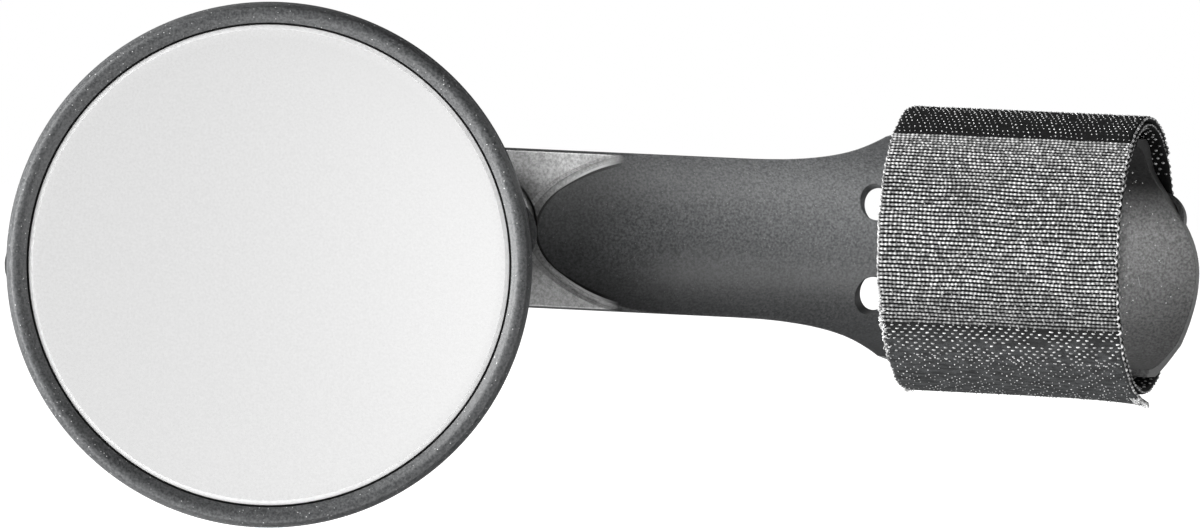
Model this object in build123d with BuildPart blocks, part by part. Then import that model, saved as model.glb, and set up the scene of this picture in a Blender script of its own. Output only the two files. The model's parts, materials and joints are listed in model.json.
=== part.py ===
from build123d import *
from math import cos, sin, tan, radians, sqrt
import os

os.makedirs("parts", exist_ok=True)

# A brake-hood mirror: a round convex mirror head on a ball joint, on a plastic arm whose far end is
# a saddle that a wide hook-and-loop strap holds against a brake hood.
# The row frame: +X along the arm from the mirror to the tongue, -Y out of the saddle's open side,
# +Z up. The origin is on the hood's axis at the middle of the strap.

# ---- driving dimensions, in millimetres and degrees ----
hood_radius = 17.0
saddle_wall = 2.3
arm_face_y = 11.4            # plane of the arm's flat front
neck_half_width = 12.3
wing_half_width = 18.2
wing_front_y = 1.0
tongue_reach = 22.4

scoop_tilt = 20.0            # slope at which the trough runs out of the arm's flat front
scoop_bend_radius = 28.0
scoop_vertex_x = -83.0
scoop_lip_depth = 0.4
scoop_lip_width = 0.4

ball_x = -90.5
ball_y = 1.2
ball_radius = 5.5
ball_neck_radius = 2.4
boss_radius = 9.0
boss_height = 1.4

head_turn = 15.0             # the mirror head is turned this far about Z from the arm's front
lens_offset = (-29.4, -6.9)  # lens centre from the ball, across and up the head
lens_radius = 37.9
lens_curve_radius = 700.0
lens_thickness = 1.8
rim_radius = 40.5
rim_inner_radius = 37.25

strap_width = 37.6
strap_skew = 0.025           # how much the strap's edges lean, as a slope
tape_thickness = 0.9

# ---- sizes that follow from them ----
saddle_outer_radius = hood_radius + saddle_wall
boss_face_y = arm_face_y - boss_height
far = 60.0                   # a length that reaches past the whole saddle's section

side_dir = Vector(cos(radians(head_turn)), sin(radians(head_turn)), 0)
face_dir = Vector(sin(radians(head_turn)), -cos(radians(head_turn)), 0)
ball_centre = Vector(ball_x, ball_y, 0)
ball_plane = Plane(origin=ball_centre, x_dir=side_dir, z_dir=face_dir)
ball_section = Plane(origin=ball_centre, x_dir=side_dir, z_dir=(0, 0, -1))
ball_axis = Axis(ball_centre, face_dir)
lens_centre = ball_centre + side_dir * lens_offset[0] + Vector(0, 0, lens_offset[1])
head_plane = Plane(origin=lens_centre, x_dir=side_dir, z_dir=face_dir)
head_section = Plane(origin=lens_centre, x_dir=side_dir, z_dir=(0, 0, -1))
head_axis = Axis(lens_centre, face_dir)

# ---- details of the arm ----
hole_x = -28.5
hole_radius = 2.5
upper_hole_z = 7.6
lower_hole_z = -9.0
hole_lean = 12.0
lug_centre = (16.1, 6.1)
lug_radius = 4.1
lug_front_y = 16.9
lug_rim_width = 0.8
lug_sink = 0.7

# ---- the ball stud's fixing in the arm ----
collar_radius = 4.2
collar_thickness = 1.0
collar_seat_radius = 4.3
shank_radius = 2.45
shank_end_y = 18.4
nut_seat_y = 13.4
nut_seat_radius = 5.4
washer_thickness = 0.8
washer_radius = 5.0
spring_thickness = 0.7
spring_radius = 4.2
nut_front_y = nut_seat_y + washer_thickness + spring_thickness
nut_flat_radius = 4.0
nut_height = 3.2
cap_front_y = 18.6
cap_thickness = 1.3

# ---- the strap ----
patch_start_x = -15.0
patch_length = 26.0
patch_angle = 76.0
patch_outer_radius = saddle_outer_radius + 0.5
loop_tape_radius = 20.0
loop_tape_seam = 216.0
loop_tape_gap = 3.0
hook_tape_radius = 20.95
hook_tape_start = 48.0
hook_tape_end = 278.0
stitch_rows = (54.0, 62.0)
stitch_count = 13
stitch_pitch = 2.6
stitch_length = 1.8
stitch_width = 0.4

# ---- heights in the head, measured from the ball's centre towards the viewer of the mirror ----
dish_back = 1.0
dish_flat_radius = 29.0
dish_radius = 38.85
dish_corner_top = 8.0
carrier_back = 8.8
carrier_front = 9.95
dish_lip_top = 10.25
lens_front = 13.7
dish_wall = 1.8
pad_radius = 10.2
pad_top = 3.4
retainer_flange_top = 5.0
retainer_top = 7.9

# ---- the head's fine details ----
snap_lugs = ((182.5, 40.9), (10.0, 41.5))
snap_lug_radius = 6.0
snap_lug_back = 4.5
snap_lug_front = 8.25
screw_circle = 8.4
screw_start = 110.0
screw_range = 210.0
screw_shank_radius = 0.9
screw_bite = 1.5
screw_head_radius = 1.5
screw_head_height = 1.3
lens_bevel_width = 1.5
lens_bevel_depth = 0.6
foam_radius = 35.5
rim_back = 8.3
rim_widest = 11.3
rim_crest = 13.95
rim_crest_radius = 39.3
rim_lip_back = 12.8
rim_lip_front = 13.2

# ---- the ball joint's shells, as radii about the ball's centre and angles from the face ----
seat_inner_radius = ball_radius + 0.05
seat_outer_radius = 6.5
socket_radius = seat_outer_radius + 0.06
socket_outer_radius = 8.2
front_seat_edge = 74.0
rear_seat_front_edge = 98.0
rear_seat_back_edge = 129.0
socket_mouth = 127.0


def finish(builder, name):
    """Label a finished piece and write it as a STEP file of that name."""
    builder.part.label = name
    export_step(builder.part, f"parts/{name}.step")


def on_sphere(radius, angle):
    """Point of the ball's section at a radius and an angle from the head's face."""
    turned = radians(90 - angle)
    return (radius * cos(turned), radius * sin(turned))


def dish_section(inset, top):
    """Half section of the round dish, drawn in from its outside by inset, up to top."""
    with BuildSketch(head_section, mode=Mode.PRIVATE) as section:
        with BuildLine():
            back = dish_back + inset
            Line((0, top), (0, back))
            Line((0, back), (dish_flat_radius, back))
            EllipticalCenterArc(
                (dish_flat_radius, dish_corner_top),
                dish_radius - dish_flat_radius - inset,
                dish_corner_top - back,
                start_angle=270,
                arc_size=90,
            )
            Line((dish_radius - inset, dish_corner_top), (dish_radius - inset, top))
            Line((dish_radius - inset, top), (0, top))
        make_face()
    return section.sketch


def tape(inner_radius, start_angle, end_angle):
    """A strap tape's solid: an arc of band round the hood's axis, with slightly leaning edges.

    Angles run about +X from +Y, the saddle's back, through +Z, the upper side.
    """
    outer_radius = inner_radius + tape_thickness
    half = strap_width / 2
    with BuildPart(mode=Mode.PRIVATE) as band:
        with BuildSketch(Plane.YZ):
            with BuildLine():
                inner = CenterArc((0, 0), inner_radius, start_angle, end_angle - start_angle)
                outer = CenterArc((0, 0), outer_radius, start_angle, end_angle - start_angle)
                Line(inner @ 0, outer @ 0)
                Line(inner @ 1, outer @ 1)
            make_face()
        extrude(amount=strap_width, both=True)
        with BuildSketch(Plane.XY):
            lean = strap_skew * far
            Polygon(
                (-half + lean, -far), (half + lean, -far), (half - lean, far), (-half - lean, far),
                align=None,
            )
        extrude(amount=far, both=True, mode=Mode.INTERSECT)
    return band.part


# =========================== the arm and saddle, one moulding ===========================

scoop_slope = radians(scoop_tilt)
floor_corner_x = scoop_vertex_x + (hood_radius - arm_face_y) / tan(scoop_slope)
scoop_corner_x = floor_corner_x + hood_radius * tan(scoop_slope / 2)
scoop_start_x = scoop_vertex_x - 30


def scoop(radius):
    """The hollow a hood lies in: a round bar that bends up out of the arm's flat front."""
    with BuildPart(mode=Mode.PRIVATE) as bar:
        with BuildLine(Plane.XY) as path:
            FilletPolyline(
                (scoop_start_x, (scoop_start_x - scoop_corner_x) * tan(scoop_slope)),
                (scoop_corner_x, 0),
                (far, 0),
                radius=scoop_bend_radius,
            )
        with BuildSketch(Plane(origin=path.line @ 0, z_dir=path.line % 0)):
            Circle(radius)
        sweep(path=path.line)
    return bar.part


tongue_top = (16.2, wing_half_width)
tongue_bottom = (19.2, -wing_half_width)
flare_start_x = -50.0
flare_end_x = -16.0

with BuildPart() as arm_saddle:
    with BuildSketch(Plane.YZ.offset(-110)):
        Circle(saddle_outer_radius)
    extrude(amount=140)
    # the outline seen from the front: a round end at the ball joint, a neck, the wings, the tongue
    with BuildSketch(Plane.XZ):
        with BuildLine():
            CenterArc((ball_x, 0), neck_half_width, 90, 180)
            Line((ball_x, neck_half_width), (flare_start_x, neck_half_width))
            Spline(
                (flare_start_x, neck_half_width), (-30.0, 14.6), (flare_end_x, wing_half_width),
                tangents=((1, 0), (1, 0)),
            )
            Line((flare_end_x, wing_half_width), tongue_top)
            Spline(
                tongue_top, (15.9, 13.6), (17.4, 10.0), (21.1, 3.2), (tongue_reach, -6.0),
                (21.3, -13.2), tongue_bottom,
                tangents=((0, -1), (-0.4, -1)),
            )
            Line(tongue_bottom, (flare_end_x, -wing_half_width))
            Spline(
                (flare_end_x, -wing_half_width), (-30.0, -14.6), (flare_start_x, -neck_half_width),
                tangents=((-1, 0), (-1, 0)),
            )
            Line((flare_start_x, -neck_half_width), (ball_x, -neck_half_width))
        make_face()
    extrude(amount=far, both=True, mode=Mode.INTERSECT)
    # the outline seen from above: a flat front along the neck, then wings that rise round the hood
    with BuildSketch(Plane.XY):
        with BuildLine():
            Line((-110, arm_face_y), (-46, arm_face_y))
            Spline((-46, arm_face_y), (-19, wing_front_y), tangents=((1, 0), (1, 0)))
            Line((-19, wing_front_y), (30, wing_front_y))
            Line((30, wing_front_y), (30, far))
            Line((30, far), (-110, far))
            Line((-110, far), (-110, arm_face_y))
        make_face()
    extrude(amount=far, both=True, mode=Mode.INTERSECT)
    front_outline = arm_saddle.edges().filter_by_position(Axis.Y, arm_face_y - 0.1, arm_face_y + 0.1)
    fillet(front_outline.filter_by_position(Axis.X, -110, -47), radius=0.7)
    add(scoop(hood_radius), mode=Mode.SUBTRACT)
    # a shallow step round the end of the trough
    with BuildPart(mode=Mode.PRIVATE) as scoop_step:
        add(scoop(hood_radius + scoop_lip_width))
        with BuildSketch(Plane.XZ.offset(-arm_face_y - scoop_lip_depth)):
            with Locations(((scoop_vertex_x + floor_corner_x) / 2, -0.25)):
                Rectangle(floor_corner_x - scoop_vertex_x + 12, 2 * neck_half_width + 4)
        extrude(amount=scoop_lip_depth + 2, mode=Mode.INTERSECT)
    add(scoop_step.part, mode=Mode.SUBTRACT)
    # the boss that the ball stud stands on, with a seat for the stud's collar
    with BuildSketch(Plane.XZ.offset(-arm_face_y - 0.5)):
        with Locations((ball_x, 0)):
            Circle(boss_radius)
    extrude(amount=boss_height + 0.5)
    boss_rim = arm_saddle.edges().filter_by(GeomType.CIRCLE).sort_by(Axis.Y)
    fillet(boss_rim.filter_by_position(Axis.Y, boss_face_y - 0.01, boss_face_y + 0.01), radius=0.4)
    with BuildSketch(Plane.XZ.offset(-boss_face_y)):
        with Locations((ball_x, 0)):
            Circle(collar_seat_radius)
    extrude(amount=-collar_thickness, mode=Mode.SUBTRACT)
    # the stud's hole and the deep seat for its nut, from the back
    with BuildSketch(Plane.XZ.offset(-boss_face_y)):
        with Locations((ball_x, 0)):
            Circle(shank_radius + 0.1)
    extrude(amount=-far, mode=Mode.SUBTRACT)
    with BuildSketch(Plane.XZ.offset(-nut_seat_y)):
        with Locations((ball_x, 0)):
            Circle(nut_seat_radius)
    extrude(amount=-far, mode=Mode.SUBTRACT)
    # two round holes through the trough, leaning together towards the back
    for hole_z, lean in ((upper_hole_z, hole_lean), (lower_hole_z, -hole_lean)):
        depth = Vector(0, cos(radians(lean)), -sin(radians(lean)))
        with BuildSketch(Plane(origin=(hole_x, 10.0, hole_z), x_dir=(1, 0, 0), z_dir=depth)):
            Circle(hole_radius)
        extrude(amount=far, mode=Mode.SUBTRACT)
    # the round lug behind the tongue's upper corner, with a sunk middle
    with BuildPart(mode=Mode.PRIVATE) as lug:
        with BuildSketch(Plane.XZ.offset(-lug_front_y)):
            with Locations(lug_centre):
                Circle(lug_radius)
        extrude(amount=-far)
        with BuildSketch(Plane.XZ.offset(-lug_front_y)):
            with Locations(lug_centre):
                Circle(lug_radius - lug_rim_width)
        extrude(amount=-lug_sink, mode=Mode.SUBTRACT)
        with BuildSketch(Plane.YZ.offset(-far)):
            Circle(saddle_outer_radius + 0.4)
            Circle(hood_radius + 0.02, mode=Mode.SUBTRACT)
        extrude(amount=2 * far, mode=Mode.INTERSECT)
    add(lug.part)
finish(arm_saddle, "arm_saddle")

# =========================== the strap ===========================

with BuildPart() as saddle_hook_patch:
    with BuildSketch(Plane.YZ.offset(patch_start_x)):
        with BuildLine():
            inner = CenterArc((0, 0), saddle_outer_radius, -patch_angle / 2, patch_angle)
            outer = CenterArc((0, 0), patch_outer_radius, -patch_angle / 2, patch_angle)
            Line(inner @ 0, outer @ 0)
            Line(inner @ 1, outer @ 1)
        make_face()
    extrude(amount=patch_length)
finish(saddle_hook_patch, "saddle_hook_patch")

with BuildPart() as strap_loop_tape:
    add(tape(loop_tape_radius, loop_tape_seam, loop_tape_seam + 360 - loop_tape_gap))
finish(strap_loop_tape, "strap_loop_tape")

with BuildPart() as strap_hook_tape:
    add(tape(hook_tape_radius, hook_tape_start, hook_tape_end))
finish(strap_hook_tape, "strap_hook_tape")

with BuildPart() as strap_stitches:
    for row_angle in stitch_rows:
        across = Vector(0, cos(radians(row_angle)), sin(radians(row_angle)))
        row_plane = Plane(
            origin=across * (hook_tape_radius + tape_thickness),
            x_dir=(1, 0, 0),
            z_dir=across,
        )
        with BuildSketch(row_plane):
            with GridLocations(stitch_pitch, 1, stitch_count, 1):
                SlotOverall(stitch_length, stitch_width)
        extrude(amount=stitch_width / 2)
finish(strap_stitches, "strap_stitches")

# =========================== the ball stud and its fixing ===========================

with BuildPart() as ball_stud:
    with Locations(Location((ball_x, ball_y, 0))):
        Sphere(ball_radius)
    with BuildSketch(Plane.XZ.offset(-ball_y)):
        with Locations((ball_x, 0)):
            Circle(ball_neck_radius)
    extrude(amount=-(boss_face_y - ball_y))
    with BuildSketch(Plane.XZ.offset(-boss_face_y)):
        with Locations((ball_x, 0)):
            Circle(collar_radius)
    extrude(amount=-collar_thickness)
    with BuildSketch(Plane.XZ.offset(-boss_face_y - collar_thickness)):
        with Locations((ball_x, 0)):
            Circle(shank_radius)
    extrude(amount=-(shank_end_y - boss_face_y - collar_thickness))
    tip = ball_stud.faces().sort_by(Axis.Y)[-1]
    chamfer(tip.edges(), length=0.4)
finish(ball_stud, "ball_stud")


def ring_on_stud(front_y, thickness, outer_radius):
    """A flat ring round the stud's shank, its front at front_y."""
    with BuildPart(mode=Mode.PRIVATE) as ring:
        with BuildSketch(Plane.XZ.offset(-front_y)):
            with Locations((ball_x, 0)):
                Circle(outer_radius)
                Circle(shank_radius + 0.05, mode=Mode.SUBTRACT)
        extrude(amount=-thickness)
    return ring.part


with BuildPart() as stud_washer:
    add(ring_on_stud(nut_seat_y, washer_thickness, washer_radius))
finish(stud_washer, "stud_washer")

with BuildPart() as stud_spring_washer:
    add(ring_on_stud(nut_seat_y + washer_thickness, spring_thickness, spring_radius))
    with BuildSketch(Plane.XZ.offset(-nut_seat_y - washer_thickness)):
        with Locations((ball_x, spring_radius - 1)):
            Rectangle(0.8, 3.6, rotation=25)
    extrude(amount=-spring_thickness, mode=Mode.SUBTRACT)
finish(stud_spring_washer, "stud_spring_washer")

with BuildPart() as stud_nut:
    with BuildSketch(Plane.XZ.offset(-nut_front_y)):
        with Locations((ball_x, 0)):
            RegularPolygon(nut_flat_radius, 6, major_radius=False)
            Circle(shank_radius + 0.02, mode=Mode.SUBTRACT)
    extrude(amount=-nut_height)
    nut_back = stud_nut.faces().sort_by(Axis.Y)[-1]
    chamfer(nut_back.inner_wires().edges(), length=0.3)
finish(stud_nut, "stud_nut")

with BuildPart() as nut_cap:
    with BuildSketch(Plane.XZ.offset(-cap_front_y)):
        with Locations((ball_x, 0)):
            Circle(nut_seat_radius - 0.05)
    extrude(amount=-cap_thickness)
    fillet(nut_cap.faces().sort_by(Axis.Y)[-1].edges(), radius=0.6)
finish(nut_cap, "nut_cap")

# =========================== the ball joint's shells ===========================


def seat_shell(front_edge, back_edge):
    """A part of a hollow sphere about the ball, between two angles from the head's face."""
    with BuildPart(mode=Mode.PRIVATE) as shell:
        with BuildSketch(ball_section):
            with BuildLine():
                inner = CenterArc((0, 0), seat_inner_radius, 90 - back_edge, back_edge - front_edge)
                outer = CenterArc((0, 0), seat_outer_radius, 90 - back_edge, back_edge - front_edge)
                Line(inner @ 0, outer @ 0)
                Line(inner @ 1, outer @ 1)
            make_face()
        revolve(axis=ball_axis)
    return shell.part


with BuildPart() as rear_ball_seat:
    add(seat_shell(rear_seat_front_edge, rear_seat_back_edge))
finish(rear_ball_seat, "rear_ball_seat")

with BuildPart() as front_ball_seat:
    add(seat_shell(0, front_seat_edge))
finish(front_ball_seat, "front_ball_seat")

# =========================== the mirror head ===========================

with BuildPart() as socket_bore:
    # the space the seats and the stud's neck move in: a sphere, open to the front, coned behind
    with BuildSketch(ball_section):
        with BuildLine():
            mouth = on_sphere(socket_radius, socket_mouth)
            cone = on_sphere(socket_outer_radius + 2, socket_mouth)
            Line((0, carrier_back), (socket_radius, carrier_back))
            Line((socket_radius, carrier_back), (socket_radius, 0))
            CenterArc((0, 0), socket_radius, 0, 90 - socket_mouth)
            Line(mouth, cone)
            Line(cone, (cone[0], -2 * socket_outer_radius))
            Line((cone[0], -2 * socket_outer_radius), (0, -2 * socket_outer_radius))
            Line((0, -2 * socket_outer_radius), (0, carrier_back))
        make_face()
    revolve(axis=ball_axis)

with BuildPart() as shell_cavity:
    revolve(dish_section(dish_wall, carrier_back), axis=head_axis)
    with BuildSketch(ball_plane):
        Circle(pad_radius)
    extrude(amount=pad_top, mode=Mode.SUBTRACT)
    with BuildSketch(head_plane.offset(carrier_back)):
        Circle(lens_radius + 0.1)
    extrude(amount=lens_front)

with BuildPart() as rear_shell:
    revolve(dish_section(0, dish_lip_top), axis=head_axis)
    # the bulge that holds the ball
    with Locations(Location(ball_centre)):
        Sphere(socket_outer_radius)
    with BuildSketch(ball_plane):
        Circle(socket_outer_radius)
    extrude(amount=dish_corner_top)
    # two small snap lugs that show outside the rim
    for lug_angle, lug_reach in snap_lugs:
        with BuildSketch(head_plane.offset(snap_lug_back)):
            with PolarLocations(lug_reach - snap_lug_radius, 1, start_angle=lug_angle):
                Circle(snap_lug_radius)
        extrude(amount=snap_lug_front - snap_lug_back)
    add(shell_cavity.part, mode=Mode.SUBTRACT)
    add(socket_bore.part, mode=Mode.SUBTRACT)
    with BuildSketch(ball_plane.offset(pad_top)):
        with PolarLocations(screw_circle, 3, start_angle=screw_start, angular_range=screw_range):
            Circle(screw_shank_radius + 0.02)
    extrude(amount=-screw_bite - 0.1, mode=Mode.SUBTRACT)
finish(rear_shell, "rear_shell")

with BuildPart() as socket_retainer:
    with BuildSketch(ball_plane.offset(pad_top)):
        Circle(pad_radius - 0.1)
    extrude(amount=retainer_flange_top - pad_top)
    cavity_section = dish_section(dish_wall + 0.1, carrier_back)
    revolve(cavity_section, axis=head_axis, mode=Mode.INTERSECT)
    with BuildSketch(ball_plane.offset(pad_top)):
        Circle(socket_radius - 0.05)
    extrude(amount=retainer_top - pad_top)
    with Locations(Location(ball_centre)):
        Sphere(socket_radius, mode=Mode.SUBTRACT)
    with BuildSketch(ball_plane.offset(pad_top)):
        with PolarLocations(screw_circle, 3, start_angle=screw_start, angular_range=screw_range):
            Circle(screw_shank_radius + 0.1)
    extrude(amount=retainer_flange_top - pad_top, mode=Mode.SUBTRACT)
finish(socket_retainer, "socket_retainer")

with BuildPart() as retainer_screws:
    with BuildSketch(ball_plane.offset(pad_top - screw_bite)):
        with PolarLocations(screw_circle, 3, start_angle=screw_start, angular_range=screw_range):
            Circle(screw_shank_radius)
    extrude(amount=retainer_flange_top - pad_top + screw_bite)
    with BuildSketch(ball_plane.offset(retainer_flange_top)):
        with PolarLocations(screw_circle, 3, start_angle=screw_start, angular_range=screw_range):
            Circle(screw_head_radius)
    extrude(amount=screw_head_height)
    with BuildSketch(ball_plane.offset(retainer_flange_top + screw_head_height)):
        with PolarLocations(screw_circle, 3, start_angle=screw_start, angular_range=screw_range):
            Rectangle(1.8, 0.4)
            Rectangle(0.4, 1.8)
    extrude(amount=-0.7, mode=Mode.SUBTRACT)
finish(retainer_screws, "retainer_screws")

with BuildPart() as lens_carrier:
    with BuildSketch(head_plane.offset(carrier_back)):
        Circle(lens_radius)
    extrude(amount=carrier_front - carrier_back)
finish(lens_carrier, "lens_carrier")


def lens_height(radius):
    """Height of the convex front at a distance from the lens's centre."""
    return lens_front - lens_curve_radius + sqrt(lens_curve_radius ** 2 - radius ** 2)


bevel_start = lens_radius - lens_bevel_width
lens_back = lens_front - lens_thickness
lens_edge_drop = lens_front - lens_height(lens_radius)

with BuildPart() as mirror_lens:
    with BuildSketch(head_section):
        with BuildLine():
            Line((0, lens_back), (0, lens_front))
            ThreePointArc(
                (0, lens_front),
                (bevel_start / 2, lens_height(bevel_start / 2)),
                (bevel_start, lens_height(bevel_start)),
            )
            Line(
                (bevel_start, lens_height(bevel_start)),
                (lens_radius, lens_height(bevel_start) - lens_bevel_depth),
            )
            Line(
                (lens_radius, lens_height(bevel_start) - lens_bevel_depth),
                (lens_radius, lens_back - lens_edge_drop),
            )
            ThreePointArc(
                (lens_radius, lens_back - lens_edge_drop),
                (lens_radius / 2, lens_height(lens_radius / 2) - lens_thickness),
                (0, lens_back),
            )
        make_face()
    revolve(axis=head_axis)
finish(mirror_lens, "mirror_lens")

with BuildPart() as lens_foam_pad:
    foam_edge = lens_height(foam_radius) - lens_thickness - 0.03
    with BuildSketch(head_section):
        with BuildLine():
            Line((0, carrier_front), (0, lens_back - 0.03))
            ThreePointArc(
                (0, lens_back - 0.03),
                (foam_radius / 2, lens_height(foam_radius / 2) - lens_thickness - 0.03),
                (foam_radius, foam_edge),
            )
            Line((foam_radius, foam_edge), (foam_radius, carrier_front))
            Line((foam_radius, carrier_front), (0, carrier_front))
        make_face()
    revolve(axis=head_axis)
finish(lens_foam_pad, "lens_foam_pad")

with BuildPart() as bezel_ring:
    rim_inner_wall = lens_radius + 0.12
    rim_skirt_wall = dish_radius + 0.05
    with BuildSketch(head_section):
        with BuildLine():
            Line((rim_inner_radius, rim_lip_back), (rim_inner_radius, rim_lip_front))
            ThreePointArc(
                (rim_inner_radius, rim_lip_front),
                (rim_crest_radius, rim_crest),
                (rim_radius, rim_widest),
            )
            Line((rim_radius, rim_widest), (rim_radius, rim_back + 0.4))
            Line((rim_radius, rim_back + 0.4), (rim_radius - 0.4, rim_back))
            Line((rim_radius - 0.4, rim_back), (rim_skirt_wall, rim_back))
            Line((rim_skirt_wall, rim_back), (rim_skirt_wall, dish_lip_top + 0.05))
            Line((rim_skirt_wall, dish_lip_top + 0.05), (rim_inner_wall, dish_lip_top + 0.05))
            Line((rim_inner_wall, dish_lip_top + 0.05), (rim_inner_wall, rim_lip_back))
            Line((rim_inner_wall, rim_lip_back), (rim_inner_radius, rim_lip_back))
        make_face()
    revolve(axis=head_axis)
finish(bezel_ring, "bezel_ring")
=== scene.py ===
import json
import math
import random

import bpy
import numpy as np
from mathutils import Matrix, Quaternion, Vector, noise


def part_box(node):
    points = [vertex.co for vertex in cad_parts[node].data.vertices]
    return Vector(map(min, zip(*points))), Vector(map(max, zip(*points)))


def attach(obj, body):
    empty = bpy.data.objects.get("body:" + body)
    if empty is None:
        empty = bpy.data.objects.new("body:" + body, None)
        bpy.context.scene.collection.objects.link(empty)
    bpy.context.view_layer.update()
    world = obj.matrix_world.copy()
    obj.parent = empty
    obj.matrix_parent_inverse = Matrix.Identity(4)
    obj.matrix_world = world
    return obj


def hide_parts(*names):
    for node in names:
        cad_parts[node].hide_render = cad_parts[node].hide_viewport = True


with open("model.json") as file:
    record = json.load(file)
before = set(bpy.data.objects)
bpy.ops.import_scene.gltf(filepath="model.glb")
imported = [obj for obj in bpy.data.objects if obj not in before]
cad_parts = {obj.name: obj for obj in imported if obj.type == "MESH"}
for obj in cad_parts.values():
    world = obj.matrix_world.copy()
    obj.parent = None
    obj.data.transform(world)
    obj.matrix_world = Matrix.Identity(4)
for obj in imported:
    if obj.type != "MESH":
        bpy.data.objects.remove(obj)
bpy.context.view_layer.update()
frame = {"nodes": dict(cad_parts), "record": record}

# A brake-hood mirror: the arm, the head's shell and the ball joint are CAD nodes with better materials.
# The lens, the rim and the strap are built here, in the places that the CAD gives them.

MM = 0.001
ARM, HEAD = "arm", "head"
dice = random.Random(7)


# ============================== places, from the frame ==============================

joints = {j["name"]: j for j in frame["record"]["behaviour"]["joints"]}
BALL = Vector(joints["head_pan"]["pos_m"])
SIDE = Vector(joints["head_tilt"]["axis"]).normalized()
FACE = Vector(joints["head_swing"]["axis"]).normalized()
UP = Vector((0, 0, 1))
rim_low, rim_high = (Vector(p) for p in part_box("bezel_ring"))
RIM_RADIUS = (rim_high.z - rim_low.z) / 2
LENS_CENTRE = (rim_low + rim_high) / 2
LENS_CENTRE -= FACE * ((LENS_CENTRE - BALL).dot(FACE))

# ============================== node helpers ==============================


class Shader:
    """A material's node tree, with short ways to add and link nodes."""

    def __init__(self, name):
        self.material = bpy.data.materials.new(name)
        self.material.use_nodes = True
        self.tree = self.material.node_tree
        self.surface = self.tree.nodes["Principled BSDF"]
        self.place = self.tree.nodes.new("ShaderNodeTexCoord").outputs["Object"]

    def link(self, source, target):
        self.tree.links.new(source, target)

    def node(self, kind, **settings):
        made = self.tree.nodes.new(kind)
        for key, value in settings.items():
            setattr(made, key, value)
        return made

    def noise(self, scale, detail=2.0, roughness=0.5, stretch=None):
        made = self.node("ShaderNodeTexNoise")
        made.inputs["Scale"].default_value = scale
        made.inputs["Detail"].default_value = detail
        made.inputs["Roughness"].default_value = roughness
        source = self.place
        if stretch:
            mapping = self.node("ShaderNodeMapping")
            mapping.inputs["Scale"].default_value = stretch
            self.link(self.place, mapping.inputs["Vector"])
            source = mapping.outputs["Vector"]
        self.link(source, made.inputs["Vector"])
        return made.outputs["Fac"]

    def voronoi(self, scale):
        made = self.node("ShaderNodeTexVoronoi")
        made.inputs["Scale"].default_value = scale
        self.link(self.place, made.inputs["Vector"])
        return made

    def coordinate(self, axis):
        """How far along X, Y or Z the point is, in metres."""
        made = self.node("ShaderNodeSeparateXYZ")
        self.link(self.place, made.inputs["Vector"])
        return made.outputs[axis]

    def distance(self, spot):
        made = self.node("ShaderNodeVectorMath", operation="DISTANCE")
        self.link(self.place, made.inputs[0])
        made.inputs[1].default_value = spot
        return made.outputs["Value"]

    def spread(self, value, low, high, out_low=0.0, out_high=1.0):
        """A straight line from (low, out_low) to (high, out_high), level outside them."""
        made = self.node("ShaderNodeMapRange")
        made.inputs["From Min"].default_value, made.inputs["From Max"].default_value = low, high
        made.inputs["To Min"].default_value, made.inputs["To Max"].default_value = out_low, out_high
        self.link(value, made.inputs["Value"])
        return made.outputs["Result"]

    def math(self, operation, a, b=None):
        made = self.node("ShaderNodeMath", operation=operation)
        for socket, value in zip(made.inputs, (a, b)):
            if value is None:
                continue
            if isinstance(value, (int, float)):
                socket.default_value = value
            else:
                self.link(value, socket)
        return made.outputs["Value"]

    def mix(self, factor, a, b):
        made = self.node("ShaderNodeMix", data_type="RGBA")
        for socket, value in ((made.inputs["Factor"], factor), (made.inputs[6], a), (made.inputs[7], b)):
            if isinstance(value, (int, float)):
                socket.default_value = value
            elif isinstance(value, tuple):
                socket.default_value = (*value, 1.0)
            else:
                self.link(value, socket)
        return made.outputs[2]

    def bump(self, height, strength, distance, normal=None):
        made = self.node("ShaderNodeBump")
        made.inputs["Strength"].default_value = strength
        made.inputs["Distance"].default_value = distance
        self.link(height, made.inputs["Height"])
        if normal:
            self.link(normal, made.inputs["Normal"])
        return made.outputs["Normal"]

    def set(self, **sockets):
        for key, value in sockets.items():
            socket = self.surface.inputs[key.replace("_", " ")]
            if isinstance(value, (int, float)):
                socket.default_value = value
            elif isinstance(value, tuple):
                socket.default_value = (*value, 1.0)
            else:
                self.link(value, socket)


def grey(value, warm=0.0):
    return (value * (1 + warm), value, value * (1 - warm))


# the arm's flat front is crowned a little, so that it turns toward the far side of the mirror
FRONT_NORMAL = (-0.28, -1, 0)
FRONT_PLANE, STEP_DEPTH = 11.4 * MM, 0.4 * MM
FRONT_HALF, FRONT_END = 11.85 * MM, -71.5 * MM
# the middle of the painted highlight on the arm's flat front
FRONT_HIGHLIGHT_SPOT = (-76 * MM, FRONT_PLANE, 10.5 * MM)
# the middle of the painted pool of light on the tongue
TONGUE_LIGHT_SPOT = (14 * MM, 17 * MM, 1 * MM)
STRAP_EDGE = 9.3 * MM


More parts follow.
